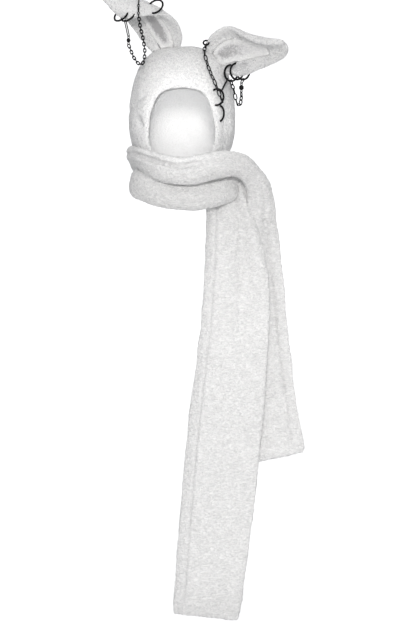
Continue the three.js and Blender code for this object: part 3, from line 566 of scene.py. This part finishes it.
# %% The wrapped strip
WRAP_FOLDS = (
    # x1, z1, x2, z2, width, depth, dark, the strength of the painted shade: the groove under the
    # top roll, then the tail's crease
    (-103, -232, -68, -247, 4.5, 6.0, 0.7),
    (-68, -247, -6, -266, 5.0, 6.5, 0.8),
    (-6, -266, 44, -252, 6.0, 5.0, 0.5),
    (182, -380, 205, -636, 6.0, 4.0, 0.4),
    (205, -636, 234, -847, 6.0, 3.5, 0.4),
)
wrap = cloth_piece(
    "scarf_wrap", level_fleece, 0.0023, folds=WRAP_FOLDS, stretch=1.25)

# %% The front tail
TAIL_FOLDS = (
    # x1, z1, x2, z2, width, depth, dark, the strength of the painted shade: the lengthwise seam,
    # then the soft valley beside it
    (78, -349, 72, -474, 2.6, 2.6, 1.0),
    (72, -474, 61, -618, 2.6, 2.6, 1.0),
    (61, -618, 43, -761, 2.6, 3.0, 1.0),
    (43, -761, 31, -873, 2.6, 3.0, 1.0),
    (31, -873, 18, -1034, 2.6, 2.8, 1.0),
    (18, -1034, 6, -1196, 2.6, 2.6, 1.0),
    (126, -420, 126, -618, 9.0, 3.5, 0.0),
)
tail = cloth_piece(
    "front_tail", level_fleece, 0.0021, folds=TAIL_FOLDS, stretch=1.6)

# %% [markdown]
# ## The ears' linings
# The hollow of each ear is lined with a smoother plush. Its colour holds painted shade: dark
# deep in the hollow, turning as pale and curly as the fleece towards its border. A texture
# painted on a UV map could do that. Here a number kept at each mesh point does, called
# "depth", so the painted shade needs no unwrapping.

# %% Plush
PLUSH_STREAKS = 150
PLUSH_NAP = 420
PLUSH_STREAK_SHARE = 0.45

plush, plush_tree, plush_shader = new_material("plush_painted_shade")
plush_coords = add_node(plush_tree, "ShaderNodeTexCoord")
plush_depth = add_node(plush_tree, "ShaderNodeAttribute", attribute_name="depth")
plush_grain = add_node(plush_tree, "ShaderNodeMapping", Scale=(1.0, 1.0, 0.25))
plush_streaks = add_node(
    plush_tree, "ShaderNodeTexNoise", Scale=PLUSH_STREAKS, Detail=4.0, Roughness=0.6)
plush_nap = add_node(
    plush_tree, "ShaderNodeTexNoise", Scale=PLUSH_NAP, Detail=3.0, Roughness=0.6)
plush_mix = add_node(plush_tree, "ShaderNodeMath", operation="MULTIPLY_ADD")
plush_mix.inputs[1].default_value = PLUSH_STREAK_SHARE
# Painted shade: the lining runs from pale at its border to dark grey deep in the hollow.
plush_shade_ramp = ramp(
    plush_tree, (0.2, (0.87, 0.868, 0.86)), (0.6, (0.72, 0.718, 0.72)), (1.0, (0.42, 0.415, 0.42)))
plush_bump = add_node(plush_tree, "ShaderNodeBump", Strength=0.6, Distance=0.0012)
for texture in (plush_grain, plush_nap):
    plush_tree.links.new(plush_coords.outputs["Object"], texture.inputs["Vector"])
plush_tree.links.new(plush_grain.outputs["Vector"], plush_streaks.inputs["Vector"])
plush_tree.links.new(plush_streaks.outputs["Fac"], plush_mix.inputs[0])
plush_tree.links.new(plush_depth.outputs["Fac"], plush_mix.inputs[2])
plush_tree.links.new(plush_mix.outputs["Value"], plush_shade_ramp.inputs["Fac"])
plush_tree.links.new(plush_shade_ramp.outputs["Color"], plush_shader.inputs["Base Color"])
plush_tree.links.new(plush_nap.outputs["Fac"], plush_bump.inputs["Height"])
plush_tree.links.new(plush_bump.outputs["Normal"], plush_shader.inputs["Normal"])
plush_shader.inputs["Roughness"].default_value = 0.95
plush_shader.inputs["Specular IOR Level"].default_value = 0.1
plush_shader.inputs["Sheen Weight"].default_value = 0.2
print("material:", plush.name)

# %% The linings
BORDER_ANGLE = 0.9
BORDER_BLEND = 0.017
BORDER_DROP = 0.0005
CURLS_INSIDE = 0.45
LINING_SHADE = {
    # x and z of the painted shade's darkest place and how far it reaches, in metres, and how dark
    # it is
    "ear_left_lining": (-0.066, 0.040, 0.062, 1.1),
    "ear_right_lining": (0.082, -0.012, 0.062, 0.85),
}


def border_of(node):
    """A search tree of points along the sharp edges of a packed sheet."""
    bm = copy_of(node)
    sharp = [e for e in bm.edges if e.calc_face_angle(0) > BORDER_ANGLE]
    points = [e.verts[0].co.lerp(e.verts[1].co, i / 8) for e in sharp for i in range(8)]
    tree = KDTree(len(points))
    for i, point in enumerate(points):
        tree.insert(point, i)
    tree.balance()
    bm.free()
    return tree


def make_lining(node, dark_x, dark_z, reach, dark):
    """A lining, curly and low at its border and shaded round its darkest place."""
    border = border_of(node)

    def from_border(point):
        """From 0 on the border to 1 inside."""
        share = min(1.0, border.find(point)[2] / BORDER_BLEND)
        return share * share * (3 - 2 * share)

    def curly_border(point, normal):
        """The curls fade out from the border inwards, and the border lies low."""
        share = from_border(point)
        return -BORDER_DROP * (1 - share), 1.0 - (1.0 - CURLS_INSIDE) * share

    lining = cloth_piece(node, plush, 0.0014, smooth=2, dent=0.0006, lift=curly_border)
    # The depth holds painted shade: dark round the darkest place, and darker in the curls'
    # hollows.
    depth = []
    curls = [value.value for value in lining.data.attributes["curl"].data]
    for vert, tip in zip(lining.data.vertices, curls):
        away = math.hypot(vert.co.x - dark_x, vert.co.z - dark_z) / reach
        shade = dark * from_border(vert.co) * math.exp(-away * away)
        depth.append(shade + 0.5 * (CURL_MIDDLE - tip))
    lining.data.attributes.new("depth", "FLOAT", "POINT").data.foreach_set("value", depth)
    return lining


for node, shade_row in LINING_SHADE.items():
    make_lining(node, *shade_row)

# %% [markdown]
# ## Black metal
# Hoops, links and clasps are steel with a thin black plating. A metal with a black base
# would mirror the white room and read as grey. A very dark base with little reflection
# stays black, and a fine noise in the roughness stands for handling marks.

# %% Black plating
plating, plating_tree, plating_shader = new_material("black_plating")
plating_coords = add_node(plating_tree, "ShaderNodeTexCoord")
plating_marks = add_node(plating_tree, "ShaderNodeTexNoise", Scale=420.0, Detail=4.0)
plating_range = add_node(plating_tree, "ShaderNodeMapRange", To_Min=0.35, To_Max=0.5)
plating_tree.links.new(plating_coords.outputs["Object"], plating_marks.inputs["Vector"])
plating_tree.links.new(plating_marks.outputs["Fac"], plating_range.inputs["Value"])
plating_tree.links.new(plating_range.outputs["Result"], plating_shader.inputs["Roughness"])
plating_shader.inputs["Base Color"].default_value = (0.008, 0.008, 0.009, 1)
plating_shader.inputs["Specular IOR Level"].default_value = 0.12
print("material:", plating.name)

# %% [markdown]
# ### Hoops
# A hoop is a round wire bent to a circle. A torus primitive would do, but a small upright
# circle spun round an axis is the same shape and can be stretched to an oval link later.
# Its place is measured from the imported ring, whose points lie evenly round the same circle.

# %% Hoops
HOOP_WIRE = 0.0044
HOOK_WIRE = 0.0038
HOOP_SIDES = 12
HOOP_STEPS = 64


def spun_ring(bm, radius, wire, sides, steps):
    """A round wire bent to a circle about Z at the origin. Gives the ring's points."""
    before = set(bm.verts)
    upright = Matrix.Translation((radius, 0, 0)) @ Matrix.Rotation(math.radians(90), 4, "X")
    bmesh.ops.create_circle(bm, segments=sides, radius=wire / 2, matrix=upright)
    section = [e for e in bm.edges if e.verts[0] not in before]
    bmesh.ops.spin(bm, geom=section, cent=(0, 0, 0), axis=(0, 0, 1), angle=math.tau,
                   steps=steps, use_merge=True)
    made = [v for v in bm.verts if v not in before]
    bmesh.ops.remove_doubles(bm, verts=made, dist=1e-6)
    return [v for v in bm.verts if v not in before]


def ring_frame(node):
    """Centre, axis and radius of a packed ring, from its points."""
    points = np.array([v.co for v in nodes[node].data.vertices])
    points = np.unique(points.round(6), axis=0)
    centre = points.mean(0)
    _, _, directions = np.linalg.svd(points - centre)
    flat = points - centre
    away = np.linalg.norm(flat - np.outer(flat @ directions[2], directions[2]), axis=1)
    return Vector(centre), Vector(directions[2]), float((away.min() + away.max()) / 2)


def finish_metal(bm, name, node):
    """The metal piece that stands for a packed one, with its plating."""
    obj = add_object(name, mesh_from(bm, name))
    obj.data.materials.append(plating)
    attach(obj, "root")
    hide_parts(node)
    return obj


def make_hoop(node, wire):
    """A wire circle in the place of a packed ring."""
    centre, axis, radius = ring_frame(node)
    bm = bmesh.new()
    spun_ring(bm, radius, wire, HOOP_SIDES, HOOP_STEPS)
    bmesh.ops.recalc_face_normals(bm, faces=bm.faces)
    place = Matrix.Translation(centre) @ axis.to_track_quat("Z", "Y").to_matrix().to_4x4()
    bmesh.ops.transform(bm, verts=bm.verts, matrix=place)
    finish_metal(bm, node + "_ring", node)


hoop_nodes = sorted(name for name in nodes if name.startswith("hoop_"))
for node in hoop_nodes:
    make_hoop(node, HOOP_WIRE)
make_hoop("rim_hook", HOOK_WIRE)
print("hoops:", len(hoop_nodes) + 1)

# %% [markdown]
# ### Large chains, clasps and the pin
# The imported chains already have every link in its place, with few sides to the wire. Making
# the links anew would gain nothing. A merged copy is puffed out by the little that rounding
# takes away, and subdivided once.

# %% Large chains and small fittings
FITTINGS = {
    # node: how far it is puffed out, in metres
    "chain_right": 0.0006,
    "chain_hood": 0.0006,
    "clasp_left": 0.0005,
    "clasp_right": 0.0005,
    "toggle_bar": 0.0004,
    "ear_pin": 0.0003,
}
for node, swell in FITTINGS.items():
    fitting = finish_metal(copy_of(node, swell), node + "_metal", node)
    with_modifiers(fitting, [("SUBSURF", {"levels": 1, "render_levels": 1})])
print("fittings:", len(FITTINGS))

# %% [markdown]
# ### Wire links
# A link is a spun ring stretched to an oval: the points on each side of its middle move
# apart along its length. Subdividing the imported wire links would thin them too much, so they
# are measured and made anew. The three directions that their points spread along, longest
# first, are the link's length, its width and the way it faces.

# %% Wire links
WIRE_LINK_WIRE = 0.0023
WIRE_LINK_EXTRA_LENGTH = 0.0008
WIRE_LINK_EXTRA_WIDTH = 0.0004
LINK_SIDES = 8
LINK_STEPS = 16


def oval_link(bm, middle, along, normal, length, width, wire):
    """An oval link of these outer sizes, with its length along and flat to normal."""
    points = spun_ring(bm, (width - wire) / 2, wire, LINK_SIDES, LINK_STEPS)
    for vert in points:
        if abs(vert.co.x) > 1e-6:
            vert.co.x += math.copysign((length - width) / 2, vert.co.x)
    turn = Matrix((along, normal.cross(along).normalized(), normal)).transposed().to_4x4()
    bmesh.ops.transform(bm, verts=points, matrix=Matrix.Translation(middle) @ turn)


def make_wire_link(node):
    """An oval link in the place of a packed wire link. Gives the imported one's sizes."""
    points = np.unique(np.array([v.co for v in nodes[node].data.vertices]).round(6), axis=0)
    middle = points.mean(0)
    axes = np.linalg.svd(points - middle)[2]
    reach = (points - middle) @ axes.T
    length, width, _ = reach.max(0) - reach.min(0)
    middle = middle + axes.T @ ((reach.max(0) + reach.min(0)) / 2)
    bm = bmesh.new()
    oval_link(bm, Vector(middle), Vector(axes[0]).normalized(), Vector(axes[2]).normalized(),
              length + WIRE_LINK_EXTRA_LENGTH, width + WIRE_LINK_EXTRA_WIDTH, WIRE_LINK_WIRE)
    bmesh.ops.recalc_face_normals(bm, faces=bm.faces)
    finish_metal(bm, node + "_metal", node)
    return length, width


for node in ("wire_link_left", "wire_link_toggle", "wire_link_right", "wire_link_hood"):
    length, width = make_wire_link(node)
    print(node, round(1000 * length, 1), "x", round(1000 * width, 1), "mm")

# %% [markdown]
# ### The fine chain
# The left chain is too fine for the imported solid, which is a plain tube. An array along a
# curve would bend each link. Here a smooth curve only gives even steps, and each link stays
# rigid between two of them, turned by a quarter from one to the next.

# %% The fine chain
FINE_ROUTE = [Vector(p) for p in (
    (-0.1151, -0.0744, 0.0038), (-0.0970, -0.0740, -0.0330), (-0.0880, -0.0740, -0.0390),
    (-0.0810, -0.0740, -0.0250), (-0.0820, -0.0740, 0.0080), (-0.0900, -0.0800, 0.0450),
    (-0.0930, -0.0880, 0.0678),
)]
FINE_PITCH = 0.0068
FINE_LINK_WIDTH = 0.0080
FINE_WIRE = 0.0024
FINE_LINK_LENGTH = FINE_PITCH + 2 * FINE_WIRE


def along_route(route, step):
    """Points at even steps on a smooth curve through the route."""
    spline_data = bpy.data.curves.new("route", "CURVE")
    spline_data.dimensions = "3D"
    spline_data.resolution_u = 40
    spline = spline_data.splines.new("BEZIER")
    spline.bezier_points.add(len(route) - 1)
    for knot, place in zip(spline.bezier_points, route):
        knot.co = place
        knot.handle_left_type = knot.handle_right_type = "AUTO"
    helper = add_object("route", spline_data)
    fine = np.array([v.co for v in helper.to_mesh().vertices])
    helper.to_mesh_clear()
    bpy.data.objects.remove(helper)
    bpy.data.curves.remove(spline_data)
    run = np.concatenate([[0], np.cumsum(np.linalg.norm(np.diff(fine, axis=0), axis=1))])
    wanted = np.linspace(0, run[-1], round(run[-1] / step) + 1)
    return [Vector([np.interp(w, run, fine[:, k]) for k in range(3)]) for w in wanted]


fine_joints = along_route(FINE_ROUTE, FINE_PITCH)
fine_bm = bmesh.new()
for i, (start, end) in enumerate(zip(fine_joints, fine_joints[1:])):
    along = (end - start).normalized()
    flat = along.cross(Vector((0, 1, 0))).normalized()
    normal = flat if i % 2 else flat.cross(along).normalized()
    oval_link(fine_bm, (start + end) / 2, along, normal, FINE_LINK_LENGTH, FINE_LINK_WIDTH,
              FINE_WIRE)
bmesh.ops.recalc_face_normals(fine_bm, faces=fine_bm.faces)
finish_metal(fine_bm, "chain_left_links", "chain_left")
print("fine links:", len(fine_joints) - 1)
